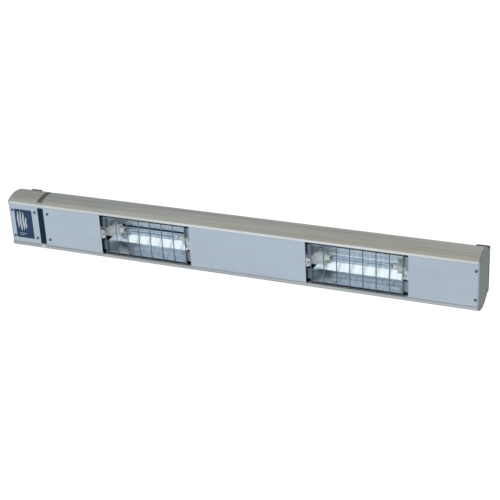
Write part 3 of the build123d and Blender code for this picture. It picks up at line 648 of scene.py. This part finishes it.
def quartz_tube(number, material):
    """Tube with soft shoulders, ribbed flat pinches and the pip where it was filled and sealed."""
    outside = [tube_ring(number, -section[0], *section[1:]) for section in reversed(TUBE_SECTIONS)]
    outside += [tube_ring(number, *section) for section in TUBE_SECTIONS]
    bore = [tube_ring(number, -along, radius, radius) for along, radius in reversed(BORE_SECTIONS)]
    bore += [tube_ring(number, along, radius, radius) for along, radius in BORE_SECTIONS]
    pip_base = in_window(number, 0, 0, LAMP_DEPTH_MM + 4.7)
    pip_path = [pip_base + Vector((0, 0, step * MM)) for step in (0.0, 0.4, 0.8, 1.1, 1.3)]
    pip = sweep(pip_path, oval(1.3 * MM, 1.3 * MM, 16), widths=[1.0, 0.9, 0.7, 0.45, 0.15])
    parts = [skin(outside), skin(bore, inward=True), pip]
    name = f"quartz_tube_{number}"
    add_piece(name, parts, material, f"lamp_{number}", [f"lamp_tube_{number}"], smooth_below=50)


COIL_REACH_MM = 36.0
COIL_RADIUS_MM = 0.95
COIL_PITCH_MM = 0.85
COIL_WIRE_MM = 0.17
SUPPORTS_MM = (-27.0, -9.0, 9.0, 27.0)
SUPPORT_RADIUS_MM = 3.8
SUPPORT_WIRE_MM = 0.14
LEAD_IN_MM = 0.3
CONTACT_START_MM = 56.3


def spiral(number, start, end, start_radius, end_radius, turns, steps_per_turn=12):
    """Points of a helix or flat spiral round the lamp's axis."""
    steps = max(2, int(turns * steps_per_turn))
    points = []
    for index in range(steps + 1):
        share = index / steps
        angle = 2 * math.pi * turns * share
        radius = start_radius + (end_radius - start_radius) * share
        along = start + (end - start) * share
        points.append(in_window(
            number, along, radius * math.cos(angle), LAMP_DEPTH_MM + radius * math.sin(angle)
        ))
    return points


def filament(number, material):
    """Coiled wire on spiral supports, straight lead-ins and the flat foils in the pinches."""
    turns = 2 * COIL_REACH_MM / COIL_PITCH_MM
    coil = spiral(number, -COIL_REACH_MM, COIL_REACH_MM, COIL_RADIUS_MM, COIL_RADIUS_MM, turns)
    parts = [wire(coil, COIL_WIRE_MM * MM, 6)]
    for along in SUPPORTS_MM:
        outer = spiral(number, along - 0.5, along + 0.5, SUPPORT_RADIUS_MM, SUPPORT_RADIUS_MM, 1.2, 24)
        inner = spiral(number, along + 0.5, along + 0.6, SUPPORT_RADIUS_MM, COIL_RADIUS_MM + 0.1, 0.5, 24)
        parts.append(wire(outer, SUPPORT_WIRE_MM * MM, 6))
        parts.append(wire(inner, SUPPORT_WIRE_MM * MM, 6))
    foil_section = oval(1.3 * MM, 0.06 * MM, 12, 4.0)
    for side in (-1, 1):
        runs = ((COIL_REACH_MM - 0.5, 45.4), (48.4, CONTACT_START_MM))
        for start, end in runs:
            ends = sorted((side * start, side * end))
            path = [in_window(number, along, 0, LAMP_DEPTH_MM) for along in ends]
            parts.append(wire(path, LEAD_IN_MM * MM, 8))
        foil_ends = sorted((side * 45.2, side * 48.6))
        foil_path = [in_window(number, along, 0, LAMP_DEPTH_MM) for along in foil_ends]
        parts.append(sweep(foil_path, foil_section, up=(0, 0, 1)))
    name = f"filament_assembly_{number}"
    add_piece(name, parts, material, f"lamp_{number}", [f"lamp_filament_{number}"])


# ---- wire guards and reflector hems ----
GUARD_RADIUS_MM = 0.75
GUARD_PITCH_MM = 19.06
GUARD_COUNT = 8
RAIL_OVERHANG_MM = 2.9          # past the outer cross wires
CROSS_DEPTH_MM = 2.1
RAIL_DEPTH_MM = CROSS_DEPTH_MM + 2 * GUARD_RADIUS_MM
RAIL_ACROSS_MM = 31.0
CROSS_REACH_MM = 33.5
HOOK_REACH_MM = 30.0
HOOK_OFFSET_MM = 5.5
WELD_RADIUS_MM = 0.85
WELD_HEIGHT_MM = 0.3


def guard(number, material):
    """Two long wires, cross wires with weld nuggets on them, and two hooks that curl at the tip."""
    radius = GUARD_RADIUS_MM * MM
    first = -GUARD_PITCH_MM * (GUARD_COUNT - 1) / 2
    crossings = [first + index * GUARD_PITCH_MM for index in range(GUARD_COUNT)]
    parts = []
    ends = (first - RAIL_OVERHANG_MM, -first + RAIL_OVERHANG_MM)
    for side in (-1, 1):
        rail = [in_window(number, along, side * RAIL_ACROSS_MM, RAIL_DEPTH_MM) for along in ends]
        parts.append(wire(rail, radius))
    reach = (-CROSS_REACH_MM, CROSS_REACH_MM)
    for along in crossings:
        parts.append(wire([in_window(number, along, across, CROSS_DEPTH_MM) for across in reach], radius))
    hook_line = (
        (-CROSS_REACH_MM, CROSS_DEPTH_MM), (-31.4, CROSS_DEPTH_MM), (-30.6, 2.25), (-30.1, 2.75),
        (-HOOK_REACH_MM, 3.5),
    )
    hooks = (-HOOK_OFFSET_MM, HOOK_OFFSET_MM)
    for along in hooks:
        parts.append(wire([in_window(number, along, *place) for place in hook_line], radius))
    weld_depth = CROSS_DEPTH_MM + GUARD_RADIUS_MM
    for along in crossings:
        for side in (-1, 1):
            centre = in_window(number, along, side * RAIL_ACROSS_MM, weld_depth)
            parts.append(pad(centre, WELD_RADIUS_MM * MM, WELD_HEIGHT_MM * MM, (0, 0, 1)))
    for along in hooks:
        centre = in_window(number, along, -RAIL_ACROSS_MM, weld_depth)
        parts.append(pad(centre, WELD_RADIUS_MM * MM, WELD_HEIGHT_MM * MM, (0, 0, 1)))
    add_piece(f"guard_wires_{number}", parts, material, "housing", [f"wire_guard_{number}"])


HEM_ACROSS_MM = 28.05
HEM_DEPTH_MM = 3.95
HEM_REACH_MM = 64.8
HEM_RADIUS_MM = 0.45


def reflector_hem(number, material):
    """The folded-over edge along both sides of the reflector's mouth, coloured near-black as painted shade for
    the gap under the lips.
    """
    parts = []
    ends = (-HEM_REACH_MM, HEM_REACH_MM)
    for side in (-1, 1):
        line = [in_window(number, along, side * HEM_ACROSS_MM, HEM_DEPTH_MM) for along in ends]
        parts.append(wire(line, HEM_RADIUS_MM * MM))
    add_piece(f"reflector_hem_{number}", parts, material, "housing")


make_camera()
make_studio()
materials = make_materials()
dress_cad(materials)
label_marks(materials["label_mark"])
for lamp in LAMPS:
    quartz_tube(lamp, materials["quartz"])
    filament(lamp, materials["tungsten"])
    guard(lamp, materials["guard"])
    reflector_hem(lamp, materials["hem"])
